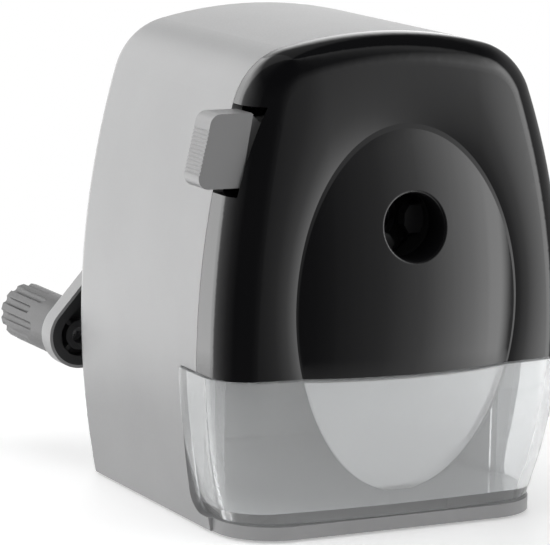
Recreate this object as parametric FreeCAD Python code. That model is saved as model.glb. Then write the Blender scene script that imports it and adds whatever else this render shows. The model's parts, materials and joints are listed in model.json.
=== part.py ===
import FreeCAD, Part
import math
import os
from FreeCAD import Vector

# Rotary pencil sharpener with a pull-out spring-fed front, a side clamp lever, a planetary
# helical cutter, a rear hand crank and a shavings drawer.  Millimetres.  The origin is the
# centre of the base footprint on the table, +Z is up and the pencil goes in from -Y.

# ---- body ---------------------------------------------------------------------------
HALF_WIDTH = 42.0         # widest half-width of the body
WIDEST_Z = 39.5
SIDE_RADIUS = 188.0
TOP_Z = 105.7
TOP_RADIUS = 100.0
SHOULDER_RADIUS = 15.0
SEAM_Y = -23.4            # where the front cover meets the housing
REAR_Y = 37.1
WALL = 2.4
REAR_EDGE_RADIUS = 2.5

FLOOR_LOW = 0.6
FLOOR_TOP = 3.5
BASE_FRONT_Y = -37.1
BASE_CORNER = 12.5
BASE_HALF_WIDTH = 37.5

# ---- front cover --------------------------------------------------------------------
COVER_LOW = 35.3
SEAM_GAP = 0.15
CROWN_DEPTH = 16.1        # how far the crowned front stands before the seam
CROWN_Z = 39.0
CROWN_PLAN_RADIUS = 332.0
CROWN_UP_RADIUS = 290.0
DOME_DEPTH = 19.4         # the oval dome on the crowned front
DOME_Z = 44.7
DOME_PLAN_RADIUS = 78.8
DOME_UP_RADIUS = 124.4
DOME_MID_Z = 48.9
DOME_HALF_WIDTH = 30.0
DOME_HALF_HEIGHT = 42.0
FRONT_EDGE_RADIUS = 8.0

AXIS_Z = 66.2             # height of the pencil and crank axis
HOLE_RADIUS = 7.1
NOTCH_LOW, NOTCH_HIGH = 73.2, 91.7
NOTCH_FRONT_Y = -32.3

# ---- drawer -------------------------------------------------------------------------
DRAWER_LOW = 3.9
DRAWER_HIGH = 35.0
DRAWER_WALL = 2.2
DRAWER_PROUD = 0.7
DRAWER_SIDE_RADIUS = 114.0
DRAWER_CROWN_RADIUS = 208.0
DRAWER_DOME_RADIUS = 118.0
DRAWER_EDGE_RADIUS = 11.5
SKIN_REAR_Y = -16.2       # the drawer's outer skin wraps back to here
TRAY_HALF_WIDTH = 35.2
TRAY_REAR_Y = 33.6
TRAY_HIGH = 34.4

# ---- chuck that grips the pencil ------------------------------------------------------
CHUCK_FRONT_Y = -32.8
CHUCK_REAR_Y = -27.8
CHUCK_RADIUS = 19.5
JAW_REST_RADIUS = 3.0
JAW_TRAVEL = 2.5
JAW_FRONT_Y = -30.7
JAW_PIN_RADIUS = 1.2
JAW_PIN_AT = 11.0
CAM_FRONT_Y, CAM_REAR_Y = -27.5, -25.3
CAM_PIN_AT = 19.5
LEVER_TRAVEL = 4.0
LEVER_FRONT_Y = -31.9
LEVER_REAR_Y = -24.9
BAR_FRONT_Y, BAR_REAR_Y = -25.1, -23.4
CAM_PIN_RADIUS = 1.2
SPRING_SEAT_X = -24.0
SPRING_Y = -29.6
SPRING_Z = 79.0
SPRING_POCKET_X = -34.5
ROD_X = 30.0
ROD_RADIUS = 2.0
ROD_REAR_Y = 30.0

# ---- cutting head ---------------------------------------------------------------------
FRAME_FRONT_Y, FRAME_REAR_Y = -20.0, -17.0
NOSE_RADIUS = 6.0
PENCIL_BORE = 4.6
RUNNING_GAP = 0.05
CUTTER_ANGLE = 11.5       # between the cutter's axis and the crank's, in degrees
CUTTER_RADIUS = 6.5
TIP_Y = 18.0              # where the cutter's surface reaches the pencil's axis
AXLE_RADIUS = 1.5
RING_TEETH = 40
PINION_TEETH = 12
PINION_Y = -11.5

# ---- crank ------------------------------------------------------------------------------
SHAFT_RADIUS = 4.0
SHAFT_FRONT_Y = 25.6
ARM_FRONT_Y = 43.7
ARM_REAR_Y = 49.3
ARM_HUB_RADIUS = 12.5
ARM_END_RADIUS = 7.6
KNOB_X, KNOB_Z = -38.1, 30.3
KNOB_RADIUS = 6.65
KNOB_FRONT_Y = 49.7
KNOB_REAR_Y = 74.5
KNOB_PIN_RADIUS = 2.0
KNOB_FLUTES = 12
CLIP_Y = KNOB_REAR_Y - 5.2

Y_AXIS = Vector(0, 1, 0)


# ---- helpers ------------------------------------------------------------------------------
def box(x0, x1, y0, y1, z0, z1):
    return Part.makeBox(x1 - x0, y1 - y0, z1 - z0, Vector(x0, y0, z0))


def rod(radius, y0, y1, x=0.0, z=AXIS_Z):
    """A cylinder along Y."""
    return Part.makeCylinder(radius, y1 - y0, Vector(x, y0, z), Y_AXIS)


def rod_x(radius, x0, x1, y, z):
    """A cylinder along X."""
    return Part.makeCylinder(radius, x1 - x0, Vector(x0, y, z), Vector(1, 0, 0))


def tube(outer, inner, y0, y1, x=0.0, z=AXIS_Z):
    return rod(outer, y0, y1, x, z).cut(rod(inner, y0 - 1, y1 + 1, x, z))


def around(x, z, radius, angle):
    """A point at a radius and an angle from +X towards +Z, as (x, z)."""
    turn = math.radians(angle)
    return x + radius * math.cos(turn), z + radius * math.sin(turn)


def fuse(shapes):
    solid = shapes[0]
    for other in shapes[1:]:
        solid = solid.fuse(other)
    return solid.removeSplitter()


def save(node, shape):
    os.makedirs("parts", exist_ok=True)
    shape.exportStep("parts/" + node + ".step")
    solids = shape.Solids
    state = "" if shape.isValid() else "  INVALID"
    print("%-20s %2d solids %10.1f mm3%s" % (node, len(solids), shape.Volume, state))


def on_circle(centre, through, radius):
    """The point of a circle on the ray from its centre through another point."""
    dx, dz = through[0] - centre[0], through[1] - centre[1]
    scale = radius / math.hypot(dx, dz)
    return centre[0] + dx * scale, centre[1] + dz * scale


def circles_meet(c1, r1, c2, r2):
    """The point right of the line c1-c2 at distance r1 from c1 and r2 from c2."""
    dx, dz = c2[0] - c1[0], c2[1] - c1[1]
    d = math.hypot(dx, dz)
    along = (d * d + r1 * r1 - r2 * r2) / (2 * d)
    off = math.sqrt(r1 * r1 - along * along)
    ux, uz = dx / d, dz / d
    first = (c1[0] + ux * along - uz * off, c1[1] + uz * along + ux * off)
    second = (c1[0] + ux * along + uz * off, c1[1] + uz * along - ux * off)
    return max(first, second)


def body_prism(grow, y0, y1, half_width=HALF_WIDTH, side_radius=SIDE_RADIUS, low=-8.0):
    """The body's arched outline, offset outwards by grow and run along Y."""
    side = (half_width - side_radius, WIDEST_Z)
    top = (0.0, TOP_Z - TOP_RADIUS)
    r_side, r_top = side_radius + grow, TOP_RADIUS + grow
    r_shoulder = SHOULDER_RADIUS + grow
    shoulder = circles_meet(side, side_radius - SHOULDER_RADIUS, top, TOP_RADIUS - SHOULDER_RADIUS)
    foot = (side[0] + math.sqrt(r_side ** 2 - (low - WIDEST_Z) ** 2), low)
    waist = (side[0] + r_side, WIDEST_Z)
    t_side = on_circle(side, shoulder, r_side)
    t_top = on_circle(top, shoulder, r_top)
    mid = ((t_side[0] + t_top[0]) / 2, (t_side[1] + t_top[1]) / 2)
    t_mid = on_circle(shoulder, mid, r_shoulder)
    crest = (0.0, top[1] + r_top)

    def at(point, sign=1):
        return Vector(sign * point[0], y0, point[1])

    edges = [Part.makeLine(at(foot, -1), at(foot))]
    edges += [Part.Arc(at(foot), at(waist), at(t_side)).toShape()]
    edges += [Part.Arc(at(t_side), at(t_mid), at(t_top)).toShape()]
    edges += [Part.Arc(at(t_top), at(crest), at(t_top, -1)).toShape()]
    edges += [Part.Arc(at(t_top, -1), at(t_mid, -1), at(t_side, -1)).toShape()]
    edges += [Part.Arc(at(t_side, -1), at(waist, -1), at(foot, -1)).toShape()]
    return Part.Face(Part.Wire(edges)).extrude(Vector(0, y1 - y0, 0))


def barrel(apex_y, apex_z, plan_radius, up_radius, reach=100.0):
    """A barrel whose nearest point to the user is the apex."""
    back_y = apex_y + up_radius - math.sqrt(up_radius ** 2 - reach ** 2)
    hub_y = apex_y + plan_radius
    low, high = Vector(0, back_y, apex_z - reach), Vector(0, back_y, apex_z + reach)
    edges = [Part.Arc(low, Vector(0, apex_y, apex_z), high).toShape()]
    edges += [Part.makeLine(high, Vector(0, hub_y, high.z))]
    edges += [Part.makeLine(Vector(0, hub_y, high.z), Vector(0, hub_y, low.z))]
    edges += [Part.makeLine(Vector(0, hub_y, low.z), low)]
    face = Part.Face(Part.Wire(edges))
    return face.revolve(Vector(0, hub_y, 0), Vector(0, 0, 1), 360)


def ellipse_prism(half_width, half_height, z, y0, y1):
    ellipse = Part.Ellipse(Vector(0, y0, z + half_height), Vector(half_width, y0, z), Vector(0, y0, z))
    return Part.Face(Part.Wire(ellipse.toShape())).extrude(Vector(0, y1 - y0, 0))


def front_solid(grow, rear_y, drawer=False):
    """The crowned and domed front as one block; grow offsets its whole skin outwards."""
    proud = DRAWER_PROUD if drawer else 0.0
    half_width = HALF_WIDTH + proud
    side_radius = DRAWER_SIDE_RADIUS if drawer else SIDE_RADIUS
    crown_radius = DRAWER_CROWN_RADIUS if drawer else CROWN_UP_RADIUS
    dome_radius = DRAWER_DOME_RADIUS if drawer else DOME_UP_RADIUS
    edge_radius = DRAWER_EDGE_RADIUS if drawer else FRONT_EDGE_RADIUS
    out = proud + grow
    prism = body_prism(grow, rear_y, -70.0, half_width, side_radius)
    crown = barrel(SEAM_Y - CROWN_DEPTH - out, CROWN_Z, CROWN_PLAN_RADIUS + out, crown_radius + out)
    block = prism.common(crown)
    rim = [e for e in block.Edges if e.CenterOfMass.y < SEAM_Y - 3 and e.CenterOfMass.z > -6]
    block = block.makeFillet(edge_radius + grow, rim)
    dome = barrel(SEAM_Y - DOME_DEPTH - out, DOME_Z, DOME_PLAN_RADIUS + out, dome_radius + out)
    oval = ellipse_prism(DOME_HALF_WIDTH, DOME_HALF_HEIGHT, DOME_MID_Z, -70.0, SEAM_Y - 4.0)
    oval = oval.common(dome)
    return block.fuse(oval)


def polygon_prism(corners, y0, y1):
    """A polygon of (x, z) corners run along Y."""
    points = [Vector(x, y0, z) for x, z in corners]
    return Part.Face(Part.makePolygon(points + points[:1])).extrude(Vector(0, y1 - y0, 0))


def rounded_slab(half_x, y0, y1, z0, z1, corner):
    slab = box(-half_x, half_x, y0, y1, z0, z1)
    uprights = [e for e in slab.Edges if abs(e.BoundBox.ZLength - (z1 - z0)) < 1e-6]
    return slab.makeFillet(corner, uprights)


def link(p1, r1, p2, r2, y0, y1):
    """Two discs and their outer tangents: an arm's outline run along Y."""
    dx, dz = p2[0] - p1[0], p2[1] - p1[1]
    length = math.hypot(dx, dz)
    lean = math.acos((r1 - r2) / length)
    heading = math.atan2(dz, dx)
    corners = []
    for point, radius, sign in ((p1, r1, 1), (p2, r2, 1), (p2, r2, -1), (p1, r1, -1)):
        turn = heading + sign * lean
        corners.append(Vector(point[0] + radius * math.cos(turn), y0, point[1] + radius * math.sin(turn)))
    middle = Part.Face(Part.makePolygon(corners + corners[:1])).extrude(Vector(0, y1 - y0, 0))
    return fuse([middle, rod(r1, y0, y1, *p1), rod(r2, y0, y1, *p2)])


def capsule(p1, p2, radius, y0, y1):
    return link(p1, radius, p2, radius * 0.9999, y0, y1)


def screw(x, z, y_head, y_tip, head_radius, shank_radius, head_height=1.6):
    """A pan-head screw along Y with a cross recess; its head's flat side is at y_head."""
    way = 1 if y_tip > y_head else -1
    top = y_head - way * head_height
    head = rod(head_radius, min(y_head, top), max(y_head, top), x, z)
    shank = rod(shank_radius, min(y_head, y_tip), max(y_head, y_tip), x, z)
    arm, half, depth = head_radius * 0.55, head_radius * 0.13, head_height * 0.55
    inner = top + way * depth
    y0, y1 = min(top, inner), max(top, inner)
    cross = box(x - arm, x + arm, y0, y1, z - half, z + half)
    cross = cross.fuse(box(x - half, x + half, y0, y1, z - arm, z + arm))
    return head.fuse(shank).removeSplitter().cut(cross)


# ---- housing --------------------------------------------------------------------------------
BOSSES = [(-27.0, 92.0), (27.0, 92.0), (-35.4, 43.5), (35.4, 43.5)]
BOSS_RADIUS = 4.2
SCREW_RADIUS = 1.25
CAP_RADIUS = 19.2
LUG_ANGLES = (90, 210, 330)


def lug(angle, outer, y0, y1, half_angle):
    """A sector of a disc, used for the rear cap's bayonet lugs and their entry notches."""
    corners = [(0.0, AXIS_Z)]
    for step in (-1.0, 0.0, 1.0):
        corners.append(around(0.0, AXIS_Z, 40.0, angle + step * half_angle))
    return polygon_prism(corners, y0, y1).common(rod(outer, y0, y1))


def housing_shell():
    outer = body_prism(0.0, SEAM_Y, REAR_Y)
    rear = [e for e in outer.Edges if e.CenterOfMass.y > REAR_Y - 0.1 and e.CenterOfMass.z > -6]
    outer = outer.makeFillet(REAR_EDGE_RADIUS, rear)
    outer = outer.cut(box(-60, 60, -60, 60, -20, FLOOR_LOW))
    hollow = body_prism(-WALL, SEAM_Y - 5, REAR_Y - WALL)
    hollow = hollow.cut(box(-60, 60, -60, 60, -20, FLOOR_TOP))
    shell = outer.cut(hollow)

    floor = rounded_slab(BASE_HALF_WIDTH, BASE_FRONT_Y, SEAM_Y + 12, FLOOR_LOW, FLOOR_TOP, BASE_CORNER)
    shell = shell.fuse(floor)

    bay = box(-60, 60, SEAM_Y - 1, SKIN_REAR_Y + 0.3, FLOOR_TOP, COVER_LOW)
    low_rear = [e for e in bay.Edges if abs(e.CenterOfMass.y - SKIN_REAR_Y - 0.3) < 0.01
                and abs(e.CenterOfMass.z - FLOOR_TOP) < 0.01]
    bay = bay.makeFillet(4.3, low_rear)
    shell = shell.cut(bay)

    extras = []
    hollow_space = body_prism(-WALL + 0.4, SEAM_Y + 1, REAR_Y - 1)
    for x, z in BOSSES:
        extras.append(rod(BOSS_RADIUS, FRAME_REAR_Y, REAR_Y - 1, x, z).common(hollow_space))
    for side in (-1, 1):
        x0, x1 = sorted((side * 34.6, side * 41.0))
        extras.append(box(x0, x1, FRAME_REAR_Y, REAR_Y - 1, 35.4, 37.4).common(hollow_space))
    shell = fuse([shell] + extras)
    for x, z in BOSSES:
        shell = shell.cut(rod(SCREW_RADIUS, FRAME_REAR_Y - 1, FRAME_REAR_Y + 9, x, z))

    opening = rod(CAP_RADIUS + 0.2, REAR_Y - 5, REAR_Y + 1)
    shell = shell.cut(opening)
    for angle in LUG_ANGLES:
        shell = shell.cut(lug(angle + 40, 22.4, REAR_Y - 5, REAR_Y + 1, 11.0))
    groove = foot_outline(31.0, FLOOR_LOW - 1, 1.4).cut(foot_outline(25.0, FLOOR_LOW - 2, 3.0))
    return shell.cut(groove).removeSplitter()


def foot_outline(half, z0, z1):
    return rounded_slab(half, -half, half, z0, z1, half - 19.0)


def foot_ring():
    return foot_outline(30.9, 0.0, 1.4).cut(foot_outline(25.1, -1.0, 3.0))


# ---- front cover --------------------------------------------------------------------------------
COVER_POSTS = [(-21.5, 54.5), (21.5, 54.5), (-24.5, 72.5), (24.5, 72.5)]
COLLAR_REAR_Y = CHUCK_FRONT_Y - 1.2


def front_cover():
    rear_y = SEAM_Y - SEAM_GAP
    outer = front_solid(0.0, rear_y)
    inner = front_solid(-WALL, rear_y + 1)
    cover = outer.cut(inner)
    tongue = body_prism(-WALL - 0.3, SEAM_Y - 3, SEAM_Y + 2.8)
    tongue = tongue.cut(body_prism(-WALL - 1.5, SEAM_Y - 4, SEAM_Y + 4))
    root = body_prism(-WALL + 0.3, SEAM_Y - 3, SEAM_Y - 1)
    root = root.cut(body_prism(-WALL - 1.5, SEAM_Y - 4, SEAM_Y + 4))
    cover = cover.fuse(tongue).fuse(root)
    collar = rod(HOLE_RADIUS + 2.0, -60.0, COLLAR_REAR_Y).common(outer)
    posts = [rod(3.2, -60.0, CHUCK_FRONT_Y, x, z).common(outer) for x, z in COVER_POSTS]
    cover = fuse([cover, collar] + posts)
    cover = cover.cut(box(-60, 60, -70, 20, -20, COVER_LOW))
    cover = cover.cut(rod(HOLE_RADIUS, -60.0, COLLAR_REAR_Y + 1))
    mouth = [e for e in cover.Edges if e.CenterOfMass.y < -39 and e.BoundBox.ZLength < 16.5
             and abs(e.CenterOfMass.z - AXIS_Z) < 0.6 and abs(e.CenterOfMass.x) < 9
             and e.BoundBox.XMax < HOLE_RADIUS + 0.1]
    cover = cover.makeFillet(0.6, mouth)
    cover = cover.cut(box(-60, -29, NOTCH_FRONT_Y, SEAM_Y + 5, NOTCH_LOW, NOTCH_HIGH))
    for x, z in COVER_POSTS:
        cover = cover.cut(rod(1.0, CHUCK_FRONT_Y - 2.7, CHUCK_FRONT_Y + 1, x, z))
    return cover.removeSplitter()


# ---- chuck ------------------------------------------------------------------------------------
JAW_ANGLES = (0, 120, 240)
RETAINER_ANGLES = (30, 150, 270)
RETAINER_AT = 18.3


def along_jaw(shape, angle):
    """Turns a shape built along +X about the pencil's axis to an angle towards +Z."""
    turned = shape.copy()
    turned.rotate(Vector(0, 0, AXIS_Z), Vector(0, -1, 0), angle)
    return turned


def chuck_body():
    plate = rod(CHUCK_RADIUS, CHUCK_FRONT_Y, CHUCK_REAR_Y)
    beam = box(-33.4, 33.4, CHUCK_FRONT_Y, CHUCK_REAR_Y, AXIS_Z - 6.5, AXIS_Z + 6.5)
    wings = [rod(4.2, CHUCK_FRONT_Y, CHUCK_REAR_Y, x, z) for x, z in COVER_POSTS]
    webs = [link((x, z), 4.2, (x * 0.6, AXIS_Z), 4.1, CHUCK_FRONT_Y, CHUCK_REAR_Y) for x, z in COVER_POSTS]
    spring_seat = box(SPRING_SEAT_X, -12.0, CHUCK_FRONT_Y, CHUCK_REAR_Y, SPRING_Z - 2.7, SPRING_Z + 2.7)
    parts = [plate, beam, spring_seat] + wings + webs
    for angle in RETAINER_ANGLES:
        x, z = around(0.0, AXIS_Z, RETAINER_AT, angle)
        parts.append(rod(2.5, CHUCK_FRONT_Y, CAM_REAR_Y + 0.2, x, z))
    body = fuse(parts)
    body = body.cut(rod(HOLE_RADIUS + 0.3, CHUCK_FRONT_Y - 1, CHUCK_REAR_Y + 1))
    for angle in JAW_ANGLES:
        slot = box(0, 18.3, JAW_FRONT_Y - 0.1, CHUCK_REAR_Y + 1, AXIS_Z - 3.1, AXIS_Z + 3.1)
        body = body.cut(along_jaw(slot, angle))
    for angle in RETAINER_ANGLES:
        x, z = around(0.0, AXIS_Z, RETAINER_AT, angle)
        body = body.cut(rod(0.8, CAM_REAR_Y - 3.6, CAM_REAR_Y + 1, x, z))
    for x, z in COVER_POSTS:
        body = body.cut(rod(1.3, CHUCK_FRONT_Y - 1, CHUCK_REAR_Y + 1, x, z))
    for side in (-1, 1):
        body = body.cut(rod(ROD_RADIUS, CHUCK_FRONT_Y + 1.4, CHUCK_REAR_Y + 1, side * ROD_X))
    return body


def chuck_screws():
    return Part.Compound([screw(x, z, CHUCK_REAR_Y, CHUCK_FRONT_Y - 2.5, 2.4, 0.98) for x, z in COVER_POSTS])


def jaw(angle):
    """A gripping jaw: a sliding block with a wedge tip and a cam pin."""
    block = box(JAW_REST_RADIUS, 15.4, JAW_FRONT_Y, CHUCK_REAR_Y - 0.1, AXIS_Z - 3.0, AXIS_Z + 3.0)
    for side in (-1, 1):
        nip = box(0, 9, -35, -25, -9, 0) if side < 0 else box(0, 9, -35, -25, 0, 9)
        nip.translate(Vector(JAW_REST_RADIUS, 0, AXIS_Z + side * 1.3))
        nip.rotate(Vector(JAW_REST_RADIUS, 0, AXIS_Z + side * 1.3), Vector(0, -1, 0), side * 58)
        block = block.cut(nip)
    pin = rod(JAW_PIN_RADIUS, CHUCK_REAR_Y - 0.5, CAM_REAR_Y - 0.1, JAW_PIN_AT)
    return along_jaw(block.fuse(pin).removeSplitter(), angle)


def cam_ring():
    """A ring with three sloping slots for the jaws' pins and an ear for the lever."""
    ring = rod(15.2, CAM_FRONT_Y, CAM_REAR_Y)
    ear = box(-2.8, 2.8, CAM_FRONT_Y, CAM_REAR_Y, AXIS_Z + 10, AXIS_Z + CAM_PIN_AT)
    ear = ear.fuse(rod(2.8, CAM_FRONT_Y, CAM_REAR_Y, 0.0, AXIS_Z + CAM_PIN_AT))
    pin = rod(CAM_PIN_RADIUS, CAM_REAR_Y - 0.5, BAR_REAR_Y, 0.0, AXIS_Z + CAM_PIN_AT)
    ring = fuse([ring, ear, pin]).cut(rod(8.6, CAM_FRONT_Y - 1, CAM_REAR_Y + 1))
    turn = math.degrees(LEVER_TRAVEL / CAM_PIN_AT)
    for angle in JAW_ANGLES:
        start = around(0.0, AXIS_Z, JAW_PIN_AT, angle)
        end = around(0.0, AXIS_Z, JAW_PIN_AT + JAW_TRAVEL, angle + turn)
        ring = ring.cut(capsule(start, end, JAW_PIN_RADIUS + 0.35, CAM_FRONT_Y - 1, CAM_REAR_Y + 1))
    return ring


def cam_retainer():
    y0, y1 = CAM_REAR_Y + 0.2, CAM_REAR_Y + 1.6
    plate = rod(14.0, y0, y1)
    for angle in RETAINER_ANGLES:
        at = around(0.0, AXIS_Z, RETAINER_AT, angle)
        plate = plate.fuse(link(at, 2.6, around(0.0, AXIS_Z, 11.0, angle), 2.5, y0, y1))
    plate = plate.removeSplitter().cut(rod(8.8, y0 - 1, y1 + 1))
    for angle in RETAINER_ANGLES:
        plate = plate.cut(rod(1.0, y0 - 1, y1 + 1, *around(0.0, AXIS_Z, RETAINER_AT, angle)))
    return plate


def retainer_screws():
    screws = []
    for angle in RETAINER_ANGLES:
        x, z = around(0.0, AXIS_Z, RETAINER_AT, angle)
        screws.append(screw(x, z, CAM_REAR_Y + 1.6, CAM_REAR_Y - 3.4, 1.9, 0.78, 0.9))
    return Part.Compound(screws)


LEVER_HIGH, LEVER_LOW = 90.7, 75.2
LEVER_TOP_X, LEVER_FOOT_X = -43.5, -47.0
LEVER_OUTLINE = [(LEVER_TOP_X, LEVER_HIGH), (-34.6, LEVER_HIGH), (-30.5, 87.4), (-30.5, 77.0),
                 (-33.4, LEVER_LOW), (LEVER_FOOT_X, LEVER_LOW)]
FACE_TRIM = [(-33.9, 92.0), (-36.9, 74.0), (0.0, 74.0), (0.0, 92.0)]
RIBS = 12
RIB_PITCH = 0.8


def clamp_lever():
    """The side button: a ribbed pad outside, a slotted bar that turns the cam ring inside."""
    pad = polygon_prism(LEVER_OUTLINE, LEVER_FRONT_Y, LEVER_REAR_Y)
    pin_z = AXIS_Z + CAM_PIN_AT
    neck = box(-32.4, -29.4, LEVER_FRONT_Y, BAR_REAR_Y, pin_z - 3.6, pin_z + 2.4)
    bar = box(-30.5, 3.2, BAR_FRONT_Y, BAR_REAR_Y, pin_z - 3.6, pin_z + 3.0)
    rounded = [e for e in pad.Edges if abs(e.BoundBox.YLength - 7.0) < 1e-6 and e.CenterOfMass.x < -42]
    pad = pad.makeFillet(2.4, rounded)
    lever = fuse([pad, neck, bar])
    lever = lever.cut(polygon_prism(FACE_TRIM, LEVER_FRONT_Y - 1, LEVER_FRONT_Y + 1.4))
    lever = lever.cut(capsule((0.0, pin_z - 0.8), (0.0, pin_z + 0.2), CAM_PIN_RADIUS + 0.2, -28.0, -20.0))
    lever = lever.cut(rod_x(2.2, SPRING_POCKET_X, -20.0, SPRING_Y, SPRING_Z))
    lean = (LEVER_TOP_X - LEVER_FOOT_X) / (LEVER_HIGH - LEVER_LOW)
    for step in range(RIBS):
        z = LEVER_LOW + 3.2 + step * RIB_PITCH
        x = LEVER_FOOT_X + (z - LEVER_LOW) * lean
        lever = lever.cut(rod(0.24, LEVER_FRONT_Y - 1, LEVER_REAR_Y + 1, x - 0.08, z))
    return lever


def lever_spring():
    sleeve = rod_x(1.9, SPRING_POCKET_X, SPRING_SEAT_X, SPRING_Y, SPRING_Z)
    return sleeve.cut(rod_x(1.3, SPRING_POCKET_X - 1, SPRING_SEAT_X + 1, SPRING_Y, SPRING_Z))


def guide_rod(side):
    return rod(ROD_RADIUS, CHUCK_FRONT_Y + 1.4, ROD_REAR_Y, side * ROD_X).cut(
        tube(ROD_RADIUS + 1, ROD_RADIUS - 0.4, 27.9, 28.9, side * ROD_X))


def rod_clips():
    return Part.Compound([tube(4.0, ROD_RADIUS - 0.4, 27.9, 28.9, side * ROD_X) for side in (-1, 1)])


def feed_spring(side):
    return tube(3.6, 2.6, FRAME_REAR_Y, 27.9, side * ROD_X)


# ---- fixed frame of the cutting head -----------------------------------------------------------
def mechanism_frame():
    plate = body_prism(-WALL - 0.4, FRAME_FRONT_Y, FRAME_REAR_Y)
    plate = plate.cut(box(-60, 60, -40, 0, -20, 38.0))
    cup = rod(25.4, FRAME_REAR_Y - 1, FRAME_REAR_Y + 8.6)
    plate = fuse([plate, cup]).cut(rod(19.4, FRAME_REAR_Y, FRAME_REAR_Y + 20))
    plate = plate.cut(rod(23.0, FRAME_REAR_Y + 2.8, FRAME_REAR_Y + 20))
    plate = plate.cut(rod(NOSE_RADIUS + RUNNING_GAP, -60, 0))
    for side in (-1, 1):
        plate = plate.cut(rod(ROD_RADIUS + RUNNING_GAP, -60, 0, side * ROD_X))
    for x, z in BOSSES:
        plate = plate.cut(rod(1.5, -60, 0, x, z))
    return plate


def frame_screws():
    return Part.Compound([screw(x, z, FRAME_FRONT_Y, -10.0, 2.6, 1.2, 1.3) for x, z in BOSSES])


def cutter_point(y):
    """The point of the cutter's axis at a given y, straight below the pencil's axis."""
    slope = math.tan(math.radians(CUTTER_ANGLE))
    drop = CUTTER_RADIUS / math.cos(math.radians(CUTTER_ANGLE)) + (TIP_Y - y) * slope
    return Vector(0, y, AXIS_Z - drop)


LEAN = math.radians(CUTTER_ANGLE)
PINION_OFFSET = AXIS_Z - cutter_point(PINION_Y).z
PINION_PITCH = PINION_OFFSET / (RING_TEETH / PINION_TEETH - math.cos(LEAN))
RING_PITCH = PINION_PITCH * RING_TEETH / PINION_TEETH


def tooth_wire(count, tip, root, fill_tip, fill_root, phase=0.0):
    """A closed toothed outline about the origin in the XZ plane; fills are shares of the pitch."""
    pitch = 2 * math.pi / count
    points = []
    for index in range(count):
        middle = phase + index * pitch
        for radius, offset in ((root, -fill_root), (tip, -fill_tip), (tip, fill_tip), (root, fill_root)):
            angle = middle + offset * pitch / 2
            points.append(Vector(radius * math.cos(angle), 0, radius * math.sin(angle)))
    return Part.makePolygon(points + points[:1])


def cone_gear(count, tip, root, fill_tip, fill_root, apex, half_face, phase=0.0):
    """Teeth that taper towards an apex at a distance along +Y from their middle plane."""
    wires = []
    for side in (-1, 1):
        wire = tooth_wire(count, tip, root, fill_tip, fill_root, phase)
        wire.scale(1 - side * half_face / apex)
        wire.translate(Vector(0, side * half_face, 0))
        wires.append(wire)
    return Part.makeLoft(wires, True, True)


APEX_ALONG_AXIS = PINION_OFFSET / math.tan(LEAN)
APEX_ALONG_CUTTER = PINION_OFFSET / math.sin(LEAN)
MODULE = 2 * PINION_PITCH / PINION_TEETH


def ring_gear():
    blank = rod(22.95, FRAME_REAR_Y + 2.8, FRAME_REAR_Y + 8.4)
    space = cone_gear(RING_TEETH, RING_PITCH + 1.15 * MODULE, RING_PITCH - 0.8 * MODULE, 0.42, 0.78,
                      APEX_ALONG_AXIS, 4.0, math.radians(-90))
    space.translate(Vector(0, PINION_Y, AXIS_Z))
    return blank.cut(space)


def on_cutter_axis(shape, y):
    """Moves a shape built about the origin along Y onto the cutter's axis."""
    placed = shape.copy()
    placed.rotate(Vector(0, 0, 0), Vector(1, 0, 0), CUTTER_ANGLE)
    placed.translate(cutter_point(y))
    return placed


def cutter_pinion():
    gear = cone_gear(PINION_TEETH, PINION_PITCH + 0.75 * MODULE, PINION_PITCH - 1.1 * MODULE, 0.26, 0.56,
                     APEX_ALONG_CUTTER, 1.7, math.radians(-90))
    boss = rod(3.4, -2.1, 2.1, 0, 0)
    gear = gear.fuse(boss).cut(rod(AXLE_RADIUS + RUNNING_GAP, -9, 9, 0, 0))
    return on_cutter_axis(gear, PINION_Y)


CUTTER_TEETH = 12
CUTTER_LENGTH = 28.0
CUTTER_TWIST = 70.0


def helical_cutter():
    """A milling cutter: a toothed outline twisted along its length."""
    wires = []
    steps = 8
    for step in range(steps + 1):
        share = step / steps
        wire = tooth_wire(CUTTER_TEETH, CUTTER_RADIUS, CUTTER_RADIUS - 1.0, 0.16, 0.8)
        wire.rotate(Vector(0, 0, 0), Vector(0, 1, 0), CUTTER_TWIST * share)
        wire.translate(Vector(0, CUTTER_LENGTH * share, 0))
        wires.append(wire)
    body = Part.makeLoft(wires, True, True)
    body = body.cut(rod(AXLE_RADIUS + RUNNING_GAP, -5, 60, 0, 0))
    return on_cutter_axis(body, PINION_Y + 2.5)


AXLE_CLIP_AT = 34.9


def cutter_axle():
    pin = rod(AXLE_RADIUS, -4.7, AXLE_CLIP_AT + 1.3, 0, 0)
    pin = pin.cut(tube(AXLE_RADIUS + 1, AXLE_RADIUS - 0.35, AXLE_CLIP_AT, AXLE_CLIP_AT + 0.7, 0, 0))
    return on_cutter_axis(pin, PINION_Y)


def axle_clip():
    clip = tube(2.9, AXLE_RADIUS - 0.35, AXLE_CLIP_AT, AXLE_CLIP_AT + 0.7, 0, 0)
    return on_cutter_axis(clip, PINION_Y)


DISC_FRONT_Y = -16.6
DISC_REAR_Y = -14.4
BACK_FRONT_Y = 20.5
BACK_REAR_Y = 23.5
CARRIER_RADIUS = 18.4


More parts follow.
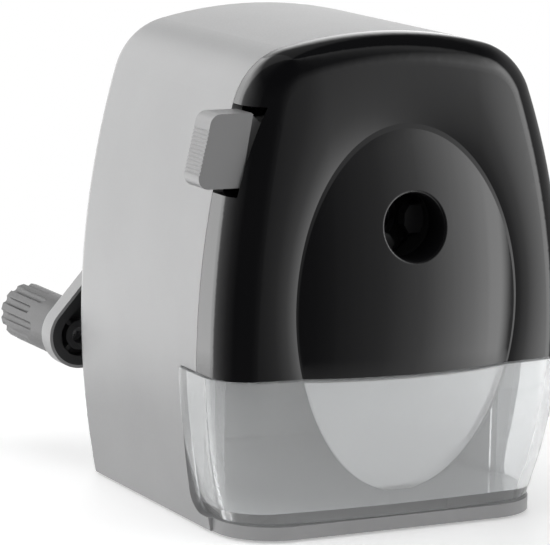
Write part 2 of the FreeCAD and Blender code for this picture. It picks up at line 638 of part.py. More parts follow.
def cutter_carrier():
    """The turning cage: nose tube, front disc, two bars and rear disc with its hub."""
    nose = rod(NOSE_RADIUS, -21.5, -10.9)
    front = rod(CARRIER_RADIUS, DISC_FRONT_Y, DISC_REAR_Y)
    back = rod(CARRIER_RADIUS - 1.4, BACK_FRONT_Y, BACK_REAR_Y)
    hub = rod(7.0, BACK_REAR_Y - 1, 30.5)
    parts = [nose, front, back, hub]
    for angle in (10, 90, 170):
        bar = box(12.0, 15.0, DISC_REAR_Y - 1, BACK_FRONT_Y + 1, AXIS_Z - 3.0, AXIS_Z + 3.0)
        parts.append(along_jaw(bar, angle))
    cage = fuse(parts)
    cage = cage.cut(rod(PENCIL_BORE, -30, 10))
    cage = cage.cut(rod(SHAFT_RADIUS, SHAFT_FRONT_Y, 40))
    axle = on_cutter_axis(rod(AXLE_RADIUS, -20, AXLE_CLIP_AT + 1.3, 0, 0), PINION_Y)
    clip_seat = on_cutter_axis(rod(3.2, AXLE_CLIP_AT, AXLE_CLIP_AT + 1.5, 0, 0), PINION_Y)
    return cage.cut(axle).cut(clip_seat)


# ---- rear cap, crank and knob ---------------------------------------------------------------------
def rear_cap():
    """A bayonet cap in the rear wall that carries the crank shaft."""
    plug = rod(CAP_RADIUS, REAR_Y - WALL, REAR_Y + 1.0)
    flange = rod(23.0, REAR_Y + 0.1, REAR_Y + 1.9)
    flange = flange.makeFillet(0.8, [e for e in flange.Edges if e.CenterOfMass.y > REAR_Y + 1.8])
    hub = rod(7.5, 31.0, REAR_Y + 3.4)
    lugs = [lug(angle, 21.8, REAR_Y - WALL - 2.0, REAR_Y - WALL - 0.15, 9.0) for angle in LUG_ANGLES]
    inner = [rod(CAP_RADIUS, REAR_Y - WALL - 2.0, REAR_Y - WALL)]
    cap = fuse([plug, flange, hub] + lugs + inner)
    cap = cap.cut(rod(SHAFT_RADIUS + RUNNING_GAP, 20, 60))
    for side in (-1, 1):
        x0, x1 = sorted((side * 12.0, side * 17.0))
        grip = box(x0, x1, REAR_Y + 0.6, REAR_Y + 5, AXIS_Z - 7, AXIS_Z + 7)
        uprights = [e for e in grip.Edges if e.BoundBox.YLength > 3]
        cap = cap.cut(grip.makeFillet(2.0, uprights))
    return cap


def crank_shaft():
    shaft = rod(SHAFT_RADIUS, SHAFT_FRONT_Y, ARM_REAR_Y - 1.6)
    flat = box(2.9, 9, 41.0, 60, AXIS_Z - 9, AXIS_Z + 9)
    return shaft.cut(flat).cut(rod(1.5, 38.0, 60))


def d_bore(y0, y1):
    return rod(SHAFT_RADIUS, y0, y1).cut(box(2.9, 9, y0 - 1, y1 + 1, AXIS_Z - 9, AXIS_Z + 9))


HUB = (0.0, AXIS_Z)
END = (KNOB_X, KNOB_Z)
SHELL_RIM = 0.7
POCKET_RIM = 2.8
SHELL_PLATE_Y = 47.5      # front face of the shell's plate, which the insert rests on
POCKET_FLOOR_Y = 46.7
BOSS_RADIUS_OUT = 3.4
BOSS_RADIUS_IN = 1.9


def arm_outline(inset, y0, y1):
    return link(HUB, ARM_HUB_RADIUS - inset, END, ARM_END_RADIUS - inset, y0, y1)


def crank_arm():
    """The arm's outer shell: a plate with a thin rim that wraps the inner insert."""
    arm = arm_outline(0.0, ARM_FRONT_Y, ARM_REAR_Y)
    rear = [e for e in arm.Edges if e.CenterOfMass.y > ARM_REAR_Y - 0.1]
    arm = arm.makeFillet(1.2, rear)
    arm = arm.cut(arm_outline(SHELL_RIM, ARM_FRONT_Y - 1, SHELL_PLATE_Y))
    arm = fuse([arm, rod(6.2, 41.2, ARM_REAR_Y - 1)])
    arm = arm.cut(d_bore(30.0, ARM_REAR_Y - 1.6))
    arm = arm.cut(rod(1.6, 40, 60)).cut(rod(4.4, ARM_REAR_Y - 0.9, 60))
    return arm.cut(rod(KNOB_PIN_RADIUS, 40, 60, *END))


def crank_arm_insert():
    """The arm's inner face: a pocketed tray with a ring boss and four spokes at the knob's end."""
    tray = arm_outline(SHELL_RIM, ARM_FRONT_Y, SHELL_PLATE_Y)
    tray = tray.cut(arm_outline(POCKET_RIM, ARM_FRONT_Y - 1, POCKET_FLOOR_Y))
    boss = rod(BOSS_RADIUS_OUT, ARM_FRONT_Y + 0.4, SHELL_PLATE_Y, *END)
    parts = [tray, boss, rod(7.4, ARM_FRONT_Y, SHELL_PLATE_Y)]
    heading = math.degrees(math.atan2(AXIS_Z - KNOB_Z, -KNOB_X))
    for quarter in range(4):
        spoke = box(2.5, ARM_END_RADIUS - POCKET_RIM + 0.3, ARM_FRONT_Y + 0.6, SHELL_PLATE_Y, -0.45, 0.45)
        spoke.rotate(Vector(0, 0, 0), Vector(0, -1, 0), heading + 90 * quarter)
        spoke.translate(Vector(KNOB_X, 0, KNOB_Z))
        parts.append(spoke)
    tray = fuse(parts)
    return tray.cut(rod(6.2, 30, 60)).cut(rod(BOSS_RADIUS_IN, 30, 60, *END))


def crank_screw():
    return screw(0.0, AXIS_Z, ARM_REAR_Y - 0.9, 38.5, 3.9, 1.5, 1.7)


def knob_pin():
    """The steel pin riveted into the arm that the knob turns on."""
    pin = rod(KNOB_PIN_RADIUS, SHELL_PLATE_Y, CLIP_Y + 2.2, *END)
    return pin.cut(tube(KNOB_PIN_RADIUS + 1, KNOB_PIN_RADIUS - 0.4, CLIP_Y, CLIP_Y + 0.8, *END))


def pin_clip():
    return tube(3.3, KNOB_PIN_RADIUS - 0.4, CLIP_Y, CLIP_Y + 0.8, *END)


def knob():
    """The fluted grip: a bored barrel whose flutes run out through its free end."""
    grip = rod(KNOB_RADIUS, KNOB_FRONT_Y, KNOB_REAR_Y, *END)
    ends = [e for e in grip.Edges if abs(e.Length - 2 * math.pi * KNOB_RADIUS) < 0.01]
    grip = grip.makeFillet(0.5, ends)
    for step in range(KNOB_FLUTES):
        x, z = around(KNOB_X, KNOB_Z, KNOB_RADIUS + 0.3, 360.0 * step / KNOB_FLUTES)
        start = KNOB_FRONT_Y + 8.0 + 3.0 * (step % 2)
        flute = rod(1.0, start, KNOB_REAR_Y + 1, x, z)
        grip = grip.cut(flute.fuse(Part.makeSphere(1.0, Vector(x, start, z))))
    grip = grip.cut(rod(KNOB_PIN_RADIUS + RUNNING_GAP, 40, CLIP_Y - 0.6, *END))
    return grip.cut(rod(3.7, CLIP_Y - 0.6, KNOB_REAR_Y + 1, *END))


def knob_cap():
    return rod(3.7, CLIP_Y + 3.0, KNOB_REAR_Y, *END)


# ---- drawer ---------------------------------------------------------------------------------------
def drawer():
    """A clear tray whose crowned front wraps round the sides of the body."""
    limits = box(-60, 60, -70, SKIN_REAR_Y, DRAWER_LOW, DRAWER_HIGH)
    skin = front_solid(0.0, SKIN_REAR_Y, True).common(limits)
    low_rear = [e for e in skin.Edges if abs(e.CenterOfMass.y - SKIN_REAR_Y) < 0.01
                and abs(e.CenterOfMass.z - DRAWER_LOW) < 0.01]
    skin = skin.makeFillet(4.0, low_rear)
    tray = box(-TRAY_HALF_WIDTH, TRAY_HALF_WIDTH, SKIN_REAR_Y - 8, TRAY_REAR_Y, DRAWER_LOW, TRAY_HIGH)
    rear = [e for e in tray.Edges if e.CenterOfMass.y > TRAY_REAR_Y - 0.1 and e.BoundBox.XLength < 1]
    tray = tray.makeFillet(3.0, rear)
    body = skin.fuse(tray)
    inner = front_solid(-DRAWER_WALL, SKIN_REAR_Y - DRAWER_WALL, True)
    inner = inner.common(box(-60, 60, -70, SKIN_REAR_Y - DRAWER_WALL, DRAWER_LOW + DRAWER_WALL, 60))
    half = TRAY_HALF_WIDTH - DRAWER_WALL
    rear_y = TRAY_REAR_Y - DRAWER_WALL
    well = box(-half, half, SKIN_REAR_Y - 8, rear_y, DRAWER_LOW + DRAWER_WALL, 60)
    return body.cut(inner).cut(well).removeSplitter()


# ---- export ------------------------------------------------------------------------------------------
def main():
    save("housing_shell", housing_shell())
    save("foot_ring", foot_ring())
    save("front_cover", front_cover())
    save("chuck_body", chuck_body())
    save("chuck_screws", chuck_screws())
    for number, angle in enumerate(JAW_ANGLES, 1):
        save("jaw_%d" % number, jaw(angle))
    save("cam_ring", cam_ring())
    save("cam_retainer", cam_retainer())
    save("retainer_screws", retainer_screws())
    save("clamp_lever", clamp_lever())
    save("lever_spring", lever_spring())
    for name, side in (("left", -1), ("right", 1)):
        save("guide_rod_" + name, guide_rod(side))
        save("feed_spring_" + name, feed_spring(side))
    save("rod_clips", rod_clips())
    save("mechanism_frame", mechanism_frame())
    save("frame_screws", frame_screws())
    save("ring_gear", ring_gear())
    save("cutter_carrier", cutter_carrier())
    save("helical_cutter", helical_cutter())
    save("cutter_pinion", cutter_pinion())
    save("cutter_axle", cutter_axle())
    save("axle_clip", axle_clip())
    save("rear_cap", rear_cap())
    save("crank_shaft", crank_shaft())
    save("crank_arm", crank_arm())
    save("crank_arm_insert", crank_arm_insert())
    save("crank_screw", crank_screw())
    save("knob_pin", knob_pin())
    save("pin_clip", pin_clip())
    save("knob", knob())
    save("knob_cap", knob_cap())
    save("drawer", drawer())


main()
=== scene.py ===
import json
import math

import bpy
from mathutils import Matrix, Vector


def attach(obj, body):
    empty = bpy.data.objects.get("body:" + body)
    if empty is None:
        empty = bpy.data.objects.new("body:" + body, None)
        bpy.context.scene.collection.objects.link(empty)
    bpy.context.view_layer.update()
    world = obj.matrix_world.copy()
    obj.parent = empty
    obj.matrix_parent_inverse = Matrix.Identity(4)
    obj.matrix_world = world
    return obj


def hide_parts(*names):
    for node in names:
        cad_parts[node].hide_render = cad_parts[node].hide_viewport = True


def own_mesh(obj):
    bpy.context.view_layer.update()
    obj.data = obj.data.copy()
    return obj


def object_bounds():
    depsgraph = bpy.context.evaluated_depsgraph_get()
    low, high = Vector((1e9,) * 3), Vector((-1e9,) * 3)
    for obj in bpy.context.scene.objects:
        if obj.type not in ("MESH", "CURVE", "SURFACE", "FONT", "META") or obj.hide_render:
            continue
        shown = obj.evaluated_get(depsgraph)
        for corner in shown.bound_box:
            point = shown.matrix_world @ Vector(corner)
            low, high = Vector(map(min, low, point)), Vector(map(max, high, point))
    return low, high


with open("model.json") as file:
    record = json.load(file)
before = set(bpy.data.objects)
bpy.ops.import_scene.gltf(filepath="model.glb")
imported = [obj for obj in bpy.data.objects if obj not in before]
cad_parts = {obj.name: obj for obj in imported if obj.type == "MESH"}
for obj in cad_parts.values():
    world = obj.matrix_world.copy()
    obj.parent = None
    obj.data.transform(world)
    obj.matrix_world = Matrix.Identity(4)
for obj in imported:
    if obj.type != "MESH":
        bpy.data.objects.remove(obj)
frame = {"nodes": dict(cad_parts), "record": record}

cad_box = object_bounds()

MM = 0.001
AXIS_HEIGHT = 66.2 * MM                 # height of the pencil and crank axis


# ---- materials ----------------------------------------------------------------------
def new_material(name, **sockets):
    """A Principled material; every given socket is set as a plain value."""
    material = bpy.data.materials.new(name)
    material.use_nodes = True
    shader = material.node_tree.nodes["Principled BSDF"]
    for socket, value in sockets.items():
        shader.inputs[socket.replace("_", " ")].default_value = value
    return material, material.node_tree, shader


def add_node(tree, kind, **values):
    node = tree.nodes.new(kind)
    for key, value in values.items():
        if key in node.inputs:
            node.inputs[key].default_value = value
        else:
            setattr(node, key, value)
    return node


def math_node(tree, operation, first, second=None):
    node = tree.nodes.new("ShaderNodeMath")
    node.operation = operation
    for index, value in enumerate((first, second)):
        if isinstance(value, (int, float)):
            node.inputs[index].default_value = value
        elif value is not None:
            tree.links.new(value, node.inputs[index])
    return node.outputs[0]


def noise(tree, scale, detail=3.0, roughness=0.5, stretch=(1, 1, 1)):
    """Noise in the object's own space; scale is in repeats per metre."""
    coordinates = tree.nodes.new("ShaderNodeTexCoord")
    mapping = tree.nodes.new("ShaderNodeMapping")
    mapping.inputs["Scale"].default_value = stretch
    tree.links.new(coordinates.outputs["Object"], mapping.inputs["Vector"])
    texture = add_node(tree, "ShaderNodeTexNoise", Scale=scale, Detail=detail, Roughness=roughness)
    tree.links.new(mapping.outputs["Vector"], texture.inputs["Vector"])
    return texture.outputs["Fac"]


def ramp(tree, value, low, high, at_low, at_high):
    """Maps a value's range onto another range."""
    node = add_node(tree, "ShaderNodeMapRange")
    for key, number in (("From Min", low), ("From Max", high), ("To Min", at_low), ("To Max", at_high)):
        node.inputs[key].default_value = number
    tree.links.new(value, node.inputs["Value"])
    return node.outputs["Result"]


def tint(tree, value, dark, light):
    """Mixes two colours by a value from 0 to 1."""
    node = tree.nodes.new("ShaderNodeMix")
    node.data_type = "RGBA"
    tree.links.new(value, node.inputs["Factor"])
    colours = [socket for socket in node.inputs if socket.type == "RGBA"]
    colours[0].default_value = (*dark, 1)
    colours[1].default_value = (*light, 1)
    return [socket for socket in node.outputs if socket.type == "RGBA"][0]


def place(tree):
    """The X, Y and Z of a point in the piece's own coordinates, in metres."""
    split = tree.nodes.new("ShaderNodeSeparateXYZ")
    coordinates = tree.nodes.new("ShaderNodeTexCoord")
    tree.links.new(coordinates.outputs["Object"], split.inputs[0])
    return split.outputs


def distance(tree, first, second):
    """How far a point is from the origin of a plane, from its two coordinates there."""
    squares = [math_node(tree, "POWER", value, 2.0) for value in (first, second)]
    return math_node(tree, "SQRT", math_node(tree, "ADD", *squares))


def bump(tree, shader, height, strength, depth):
    node = add_node(tree, "ShaderNodeBump", Strength=strength, Distance=depth)
    tree.links.new(height, node.inputs["Height"])
    tree.links.new(node.outputs["Normal"], shader.inputs["Normal"])


GRAIN_SCALE = 2500.0


def moulded(name, colour, roughness, grain_depth=0.00001, spread=0.05):
    """Injection-moulded plastic: a fine spark-eroded grain and slight tone changes."""
    material, tree, shader = new_material(name)
    cloud = noise(tree, 35.0, 4.0)
    dark = tuple(c * (1 - spread) for c in colour)
    light = tuple(min(1.0, c * (1 + spread)) for c in colour)
    tree.links.new(tint(tree, ramp(tree, cloud, 0.3, 0.7, 0, 1), dark, light), shader.inputs["Base Color"])
    fine = noise(tree, GRAIN_SCALE, 2.0)
    level = ramp(tree, fine, 0.25, 0.75, roughness * 0.88, roughness * 1.12)
    tree.links.new(level, shader.inputs["Roughness"])
    bump(tree, shader, fine, 0.25, grain_depth)
    return material


def polished(name, colour, roughness, wave=0.00002):
    """Mirror-polished plastic with a faint flow wave and hairline scuffs."""
    material, tree, shader = new_material(name)
    cloud = noise(tree, 25.0, 2.0)
    light = tuple(c * 1.3 for c in colour)
    tree.links.new(tint(tree, cloud, colour, light), shader.inputs["Base Color"])
    scuffs = noise(tree, 700.0, 6.0, 0.7, (1, 1, 0.15))
    level = ramp(tree, scuffs, 0.55, 0.8, roughness, roughness * 2.0)
    tree.links.new(level, shader.inputs["Roughness"])
    bump(tree, shader, noise(tree, 30.0, 1.0), 0.15, wave)
    return material


# The cover's finish, in metres: the crown dips towards the dome's edge and turns away at the sides.
OVAL_HALF_WIDTH, OVAL_HALF_HEIGHT, OVAL_MIDDLE = 0.0265, 0.0385, 0.0490
DIP_DEPTH = 0.0019
DIP_FALL = 5.0                          # how fast the dip fades, per oval radius
EASE_START, EASE_REACH = 0.018, 0.016
EASE_TURN = 10.0                        # radians per metre
TUNNEL_RADIUS, MOUTH_RADIUS = 0.00715, 0.00742


def crown_drop(tree, at):
    """How far the crown's finish lies below its smooth surface."""
    across = math_node(tree, "DIVIDE", at["X"], OVAL_HALF_WIDTH)
    along = math_node(tree, "DIVIDE", math_node(tree, "SUBTRACT", at["Z"], OVAL_MIDDLE), OVAL_HALF_HEIGHT)
    outside = math_node(tree, "SUBTRACT", distance(tree, across, along), 1.0)
    outside = math_node(tree, "MAXIMUM", outside, 0.0)
    dip = math_node(tree, "EXPONENT", math_node(tree, "MULTIPLY", outside, -DIP_FALL))
    aside = math_node(tree, "ABSOLUTE", at["X"])
    turned = math_node(tree, "SUBTRACT", aside, EASE_START)
    turned = math_node(tree, "MINIMUM", math_node(tree, "MAXIMUM", turned, 0.0), EASE_REACH)
    eased = math_node(tree, "MULTIPLY", math_node(tree, "POWER", turned, 2.0), 0.5 * EASE_TURN)
    past = math_node(tree, "MAXIMUM", math_node(tree, "SUBTRACT", aside, EASE_START + EASE_REACH), 0.0)
    eased = math_node(tree, "ADD", eased, math_node(tree, "MULTIPLY", past, EASE_TURN * EASE_REACH))
    return math_node(tree, "ADD", math_node(tree, "MULTIPLY", dip, DIP_DEPTH), eased)


def cover_black(name):
    """Polished black with a shaped crown and a duller wall inside the pencil hole."""
    material = polished(name, (0.004, 0.004, 0.0045), 0.05)
    tree = material.node_tree
    shader = tree.nodes["Principled BSDF"]
    at = place(tree)
    drop = add_node(tree, "ShaderNodeBump", Strength=1.0, Distance=1.0, invert=True)
    tree.links.new(crown_drop(tree, at), drop.inputs["Height"])
    wave = next(link.from_node for link in tree.links if link.to_socket == shader.inputs["Normal"])
    tree.links.new(drop.outputs["Normal"], wave.inputs["Normal"])
    from_axis = distance(tree, at["X"], math_node(tree, "SUBTRACT", at["Z"], AXIS_HEIGHT))
    sleek = shader.inputs["Roughness"].links[0].from_socket
    dull = ramp(tree, from_axis, TUNNEL_RADIUS, MOUTH_RADIUS, 0.7, 0.0)
    tree.links.new(math_node(tree, "MAXIMUM", sleek, dull), shader.inputs["Roughness"])
    shine = ramp(tree, from_axis, TUNNEL_RADIUS, MOUTH_RADIUS, 0.2, 0.5)
    tree.links.new(shine, shader.inputs["Specular IOR Level"])
    return material


def metal(name, colour, roughness, lines=(1, 1, 1), scale=900.0):
    """Turned or ground metal with fine tool lines across one axis."""
    material, tree, shader = new_material(name, Metallic=1.0)
    streaks = noise(tree, scale, 4.0, 0.6, lines)
    dark = tuple(c * 0.8 for c in colour)
    tree.links.new(tint(tree, streaks, dark, colour), shader.inputs["Base Color"])
    level = ramp(tree, streaks, 0.3, 0.7, roughness * 0.75, roughness * 1.25)
    tree.links.new(level, shader.inputs["Roughness"])
    bump(tree, shader, streaks, 0.2, 0.00001)
    return material


def clear(name, roughness):
    """Clear, faintly milky polystyrene that lets shadow rays through."""
    material, tree, shader = new_material(name, Transmission_Weight=0.86, IOR=1.5)
    shader.inputs["Base Color"].default_value = (0.97, 0.98, 0.985, 1)
    scuffs = noise(tree, 500.0, 5.0, 0.7, (1, 1, 0.3))
    level = ramp(tree, scuffs, 0.5, 0.8, roughness, roughness * 4)
    tree.links.new(level, shader.inputs["Roughness"])
    output = tree.nodes["Material Output"]
    through = tree.nodes.new("ShaderNodeBsdfTransparent")
    through.inputs["Color"].default_value = (0.93, 0.94, 0.945, 1)
    path = tree.nodes.new("ShaderNodeLightPath")
    mix = tree.nodes.new("ShaderNodeMixShader")
    tree.links.new(path.outputs["Is Shadow Ray"], mix.inputs[0])
    tree.links.new(shader.outputs[0], mix.inputs[1])
    tree.links.new(through.outputs[0], mix.inputs[2])
    tree.links.new(mix.outputs[0], output.inputs["Surface"])
    return material


FINISHES = {
    "housing_gray": moulded("housing_gray", (0.27, 0.27, 0.273), 0.36),
    "cover_black": cover_black("cover_black"),
    "clear_plastic": clear("clear_plastic", 0.015),
    "lever_gray": moulded("lever_gray", (0.20, 0.20, 0.202), 0.35),
    "crank_gray": moulded("crank_gray", (0.25, 0.25, 0.252), 0.38),
    "crank_dark": moulded("crank_dark", (0.018, 0.018, 0.019), 0.45),
    "knob_dark": moulded("knob_dark", (0.035, 0.035, 0.036), 0.42),
    "inner_plastic": moulded("inner_plastic", (0.02, 0.02, 0.021), 0.45),
    "jaw_plastic": moulded("jaw_plastic", (0.03, 0.03, 0.032), 0.35),
    "steel": metal("steel", (0.62, 0.62, 0.63), 0.28),
    "spring_steel": metal("spring_steel", (0.50, 0.50, 0.52), 0.25),
    "cutter_steel": metal("cutter_steel", (0.55, 0.55, 0.56), 0.3, (1, 0.2, 1)),
    "cast_zinc": metal("cast_zinc", (0.55, 0.55, 0.57), 0.42),
    "silver": metal("silver", (0.58, 0.58, 0.585), 0.38, (1, 1, 1), 6000.0),
    "rubber": moulded("rubber", (0.02, 0.02, 0.02), 0.7),
}


def finish_cad_nodes():
    """Gives every CAD node the finish of its slot in the record."""
    slots = {part["node"]: part["material_slot"] for part in frame["record"]["subparts"]}
    for name, node in frame["nodes"].items():
        for index in range(len(node.material_slots)):
            node.material_slots[index].material = FINISHES[slots[name]]


# ---- camera, light and floor ----------------------------------------------------------
CAMERA_AT = Vector((-0.36373, -0.67400, 0.18813))
CAMERA_TURN = (-27.58, 10.26, 1.26)     # azimuth, elevation and roll, in degrees
LENS = 231.9                            # millimetres
SENSOR_WIDTH = 36.0


def make_camera():
    data = bpy.data.cameras.new("camera")
    data.lens, data.sensor_width = LENS, SENSOR_WIDTH
    camera = bpy.data.objects.new("camera", data)
    azimuth, elevation, roll = (math.radians(angle) for angle in CAMERA_TURN)
    turn = Matrix.Rotation(azimuth, 4, "Z") @ Matrix.Rotation(math.pi / 2 - elevation, 4, "X")
    camera.matrix_world = Matrix.Translation(CAMERA_AT) @ turn @ Matrix.Rotation(roll, 4, "Z")
    bpy.context.scene.collection.objects.link(camera)
    bpy.context.scene.camera = camera


def softbox(name, at, aim, size, power):
    """A square area light in metres and watts, kept out of reflections and refractions."""
    data = bpy.data.lights.new(name, "AREA")
    data.shape, data.size, data.size_y, data.energy = "RECTANGLE", size, size, power
    light = bpy.data.objects.new(name, data)
    light.location = at
    light.rotation_mode = "QUATERNION"
    light.rotation_quaternion = (Vector(aim) - Vector(at)).to_track_quat("-Z", "Y")
    light.visible_glossy = False
    light.visible_transmission = False
    bpy.context.scene.collection.objects.link(light)


# How bright the studio looks in a level direction: degrees from the front towards +X, and radiance.
STUDIO = (
    (-180, 3.2), (-141, 3.2), (-134, 0.9), (-95, 0.25), (-72, 0.04), (-20, 0.045), (-10, 0.07), (0, 0.14),
    (18, 0.42), (32, 0.95), (48, 2.3), (60, 3.6), (68, 3.4), (76, 0.3), (138, 0.25), (146, 1.6), (180, 1.8),
)
BRIGHTEST = max(level for _, level in STUDIO)
FADE_START, FADE_END = 0.40, 0.70       # the screens' upper edge, as the upward part of a direction
OVERHEAD = 0.12                         # how bright the studio is above the screens


def make_world():
    """A white backdrop for the camera, and a studio of lit screens and dark flags all round."""
    world = bpy.data.worlds.new("studio")
    world.use_nodes = True
    tree = world.node_tree
    coordinates = tree.nodes.new("ShaderNodeTexCoord")
    split = tree.nodes.new("ShaderNodeSeparateXYZ")
    tree.links.new(coordinates.outputs["Generated"], split.inputs[0])
    behind = math_node(tree, "MULTIPLY", split.outputs["Y"], -1.0)
    turn = math_node(tree, "ARCTAN2", split.outputs["X"], behind)
    share = math_node(tree, "ADD", math_node(tree, "DIVIDE", turn, 2 * math.pi), 0.5)
    levels = tree.nodes.new("ShaderNodeValToRGB")
    levels.color_ramp.interpolation = "LINEAR"
    tree.links.new(share, levels.inputs[0])
    stops = levels.color_ramp.elements
    stops[0].position, stops[1].position = 0.0, 1.0
    for angle, _ in STUDIO[1:-1]:
        stops.new((angle + 180) / 360)
    for stop, (_, level) in zip(stops, STUDIO):
        stop.color = (*(level / BRIGHTEST,) * 3, 1)
    height = ramp(tree, split.outputs["Z"], FADE_START, FADE_END, BRIGHTEST, OVERHEAD * BRIGHTEST)
    screens = tree.nodes["Background"]
    tree.links.new(levels.outputs["Color"], screens.inputs["Color"])
    tree.links.new(height, screens.inputs["Strength"])
    white = add_node(tree, "ShaderNodeBackground", Color=(1, 1, 1, 1), Strength=1.0)
    path = tree.nodes.new("ShaderNodeLightPath")
    seen = math_node(tree, "MAXIMUM", path.outputs["Is Camera Ray"], path.outputs["Is Transmission Ray"])
    mix = tree.nodes.new("ShaderNodeMixShader")
    tree.links.new(seen, mix.inputs[0])
    tree.links.new(screens.outputs[0], mix.inputs[1])
    tree.links.new(white.outputs[0], mix.inputs[2])
    tree.links.new(mix.outputs[0], tree.nodes["World Output"].inputs["Surface"])
    bpy.context.scene.world = world


FLOOR_X, FLOOR_Y = (-0.25, 0.25), (-0.25, 0.30)
FLOOR_MIDDLE_Y = 0.02
FLOOR_FADE = (0.09, 0.19)               # distances from the middle where the fade begins and ends
FLOOR_GLOW = 0.3


def make_floor():
    """A pale floor that fades into the white backdrop all round."""
    mesh = bpy.data.meshes.new("floor")
    corners = [(FLOOR_X[x], FLOOR_Y[y], 0) for x, y in ((0, 0), (1, 0), (1, 1), (0, 1))]
    mesh.from_pydata(corners, [], [(0, 1, 2, 3)])
    floor = bpy.data.objects.new("floor", mesh)
    floor.location.z = cad_box[0].z
    pale = moulded("floor_pale", (0.95, 0.95, 0.95), 0.6, grain_depth=0.0, spread=0.005)
    tree = pale.node_tree
    shader = tree.nodes["Principled BSDF"]
    shader.inputs["Emission Color"].default_value = (1, 1, 1, 1)
    shader.inputs["Emission Strength"].default_value = FLOOR_GLOW
    at = place(tree)
    reach = distance(tree, at["X"], math_node(tree, "SUBTRACT", at["Y"], FLOOR_MIDDLE_Y))
    tree.links.new(ramp(tree, reach, *FLOOR_FADE, 1, 0), shader.inputs["Alpha"])
    mesh.materials.append(pale)
    bpy.context.scene.collection.objects.link(floor)


# ---- pieces -----------------------------------------------------------------------------
def add_piece(name, verts, faces, body, finish, slot, *stands_for):
    """A mesh piece given in millimetres, riding on a body."""
    mesh = bpy.data.meshes.new(name)
    mesh.from_pydata([tuple(MM * value for value in vert) for vert in verts], [], faces)
    mesh.validate()
    mesh.shade_smooth()
    mesh.materials.append(FINISHES[finish])
    piece = bpy.data.objects.new(name, mesh)
    bpy.context.scene.collection.objects.link(piece)
    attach(piece, body)
    if stands_for:
        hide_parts(*stands_for)
    return piece


def sheet(columns, rows, point, thickness):
    """A closed sheet of quads; point(u, v) gives its front, and its back is further along +Y."""
    verts = []
    for layer in (0, 1):
        for row in range(rows + 1):
            for column in range(columns + 1):
                x, y, z = point(column / columns, row / rows)
                verts.append((x, y + layer * thickness, z))
    wide = columns + 1
    back = wide * (rows + 1)
    faces = []
    for row in range(rows):
        for column in range(columns):
            a = row * wide + column
            quad = (a, a + 1, a + 1 + wide, a + wide)
            faces.append(quad)
            faces.append(tuple(back + index for index in reversed(quad)))
    rim = list(range(wide)) + [row * wide + columns for row in range(1, rows + 1)]
    rim += [rows * wide + column for column in range(columns - 1, -1, -1)]
    rim += [row * wide for row in range(rows - 1, 0, -1)]
    for here, there in zip(rim, rim[1:] + rim[:1]):
        faces.append((there, here, back + here, back + there))
    return verts, faces


def sag(radius, offset):
    """How far a circle's edge has fallen back at an offset from its top."""
    return radius - math.sqrt(radius * radius - offset * offset)


# The shield behind the drawer's dome, in millimetres.
PANEL_HALF_WIDTH, PANEL_HALF_HEIGHT, PANEL_MIDDLE = 26.2, 42.8, 52.08
PANEL_TOP = 34.4
PANEL_BOTTOM = PANEL_MIDDLE - PANEL_HALF_HEIGHT + 0.3
PANEL_APEX_Y, PANEL_APEX_Z = -41.2, 44.7
PANEL_PLAN_RADIUS, PANEL_UP_RADIUS = 77.2, 116.4
PANEL_THICKNESS = 0.3


def drawer_panel():
    """The satin silver shield behind the drawer's clear dome."""
    def point(u, v):
        z = PANEL_BOTTOM + (PANEL_TOP - PANEL_BOTTOM) * (1 - (1 - v) ** 2)
        reach = PANEL_HALF_WIDTH * math.sqrt(max(0.0, 1 - ((z - PANEL_MIDDLE) / PANEL_HALF_HEIGHT) ** 2))
        x = reach * (2 * u - 1)
        return x, PANEL_APEX_Y + sag(PANEL_PLAN_RADIUS, x) + sag(PANEL_UP_RADIUS, z - PANEL_APEX_Z), z

    verts, faces = sheet(48, 40, point, PANEL_THICKNESS)
    add_piece("drawer_panel", verts, faces, "drawer", "silver", "clear_plastic")


WIRE_SIDES, STEPS_PER_TURN = 10, 36
END_CLOSING = 0.030                     # how much the pitch tightens at the ends


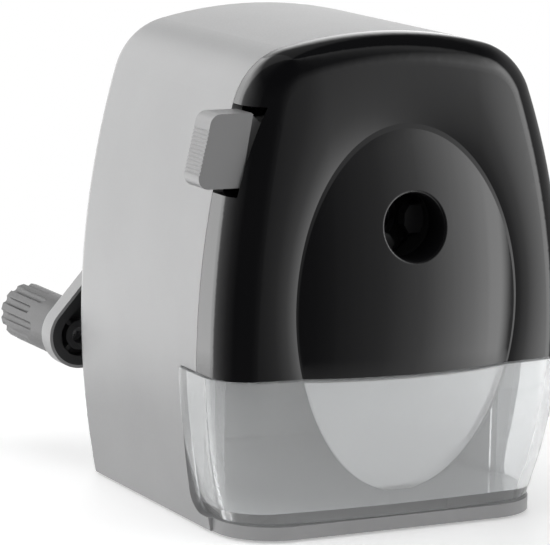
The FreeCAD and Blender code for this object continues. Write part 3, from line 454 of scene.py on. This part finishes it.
def helix(name, start, end, radius, wire, turns, body, *stands_for):
    """A coil spring between two points along X or Y, with closed end turns."""
    start, end = Vector(start), Vector(end)
    way = (end - start).normalized()
    side = Vector((0, 0, 1))
    other = way.cross(side)
    length = (end - start).length
    count = round(turns * STEPS_PER_TURN)
    centres = []
    for step in range(count + 1):
        share = step / count
        eased = share - END_CLOSING * math.sin(4 * math.pi * share)
        along = wire + (length - 2 * wire) * min(1.0, max(0.0, eased))
        angle = 2 * math.pi * turns * share
        centres.append((start + way * along + side * radius * math.cos(angle)
                        + other * radius * math.sin(angle), angle))
    verts, faces = [], []
    for centre, angle in centres:
        out = side * math.cos(angle) + other * math.sin(angle)
        for spoke in range(WIRE_SIDES):
            turn = 2 * math.pi * spoke / WIRE_SIDES
            verts.append(centre + (out * math.cos(turn) + way * math.sin(turn)) * wire)
    for ring in range(len(centres) - 1):
        for spoke in range(WIRE_SIDES):
            a, b = ring * WIRE_SIDES + spoke, ring * WIRE_SIDES + (spoke + 1) % WIRE_SIDES
            faces.append((a, b, b + WIRE_SIDES, a + WIRE_SIDES))
    faces.append(tuple(range(WIRE_SIDES - 1, -1, -1)))
    faces.append(tuple(len(verts) - WIRE_SIDES + spoke for spoke in range(WIRE_SIDES)))
    return add_piece(name, verts, faces, body, "spring_steel", "spring_steel", *stands_for)


# The springs, in millimetres.
ROD_X, ROD_Z = 30.0, 66.2
FEED_Y = (-17.0, 27.9)
LEVER_X, LEVER_Y, LEVER_Z = (-34.5, -24.0), -29.6, 79.0


def springs():
    """Coils in place of the plain sleeves; each rides whole on one body."""
    for side, x in (("left", -ROD_X), ("right", ROD_X)):
        coil = helix("feed_coil_" + side, (x, FEED_Y[0], ROD_Z), (x, FEED_Y[1], ROD_Z), 3.1, 0.45, 11.5,
                     "housing", "feed_spring_" + side)
        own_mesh(coil)
    coil = helix("lever_coil", (LEVER_X[0], LEVER_Y, LEVER_Z), (LEVER_X[1], LEVER_Y, LEVER_Z), 1.6, 0.28, 7.5,
                 "front", "lever_spring")
    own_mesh(coil)


# ---- build ------------------------------------------------------------------------------
finish_cad_nodes()
drawer_panel()
springs()
make_camera()
make_world()
make_floor()
softbox("top", (-0.1, -0.1, 0.9), (0, 0, 0.05), 0.9, 3.1)
softbox("left", (-0.9, -0.1, 0.35), (0, 0, 0.05), 0.7, 3.5)
softbox("front", (-0.5, -0.9, 0.5), (0, 0, 0.06), 0.5, 1.0)
bpy.context.scene.view_settings.view_transform = "Standard"
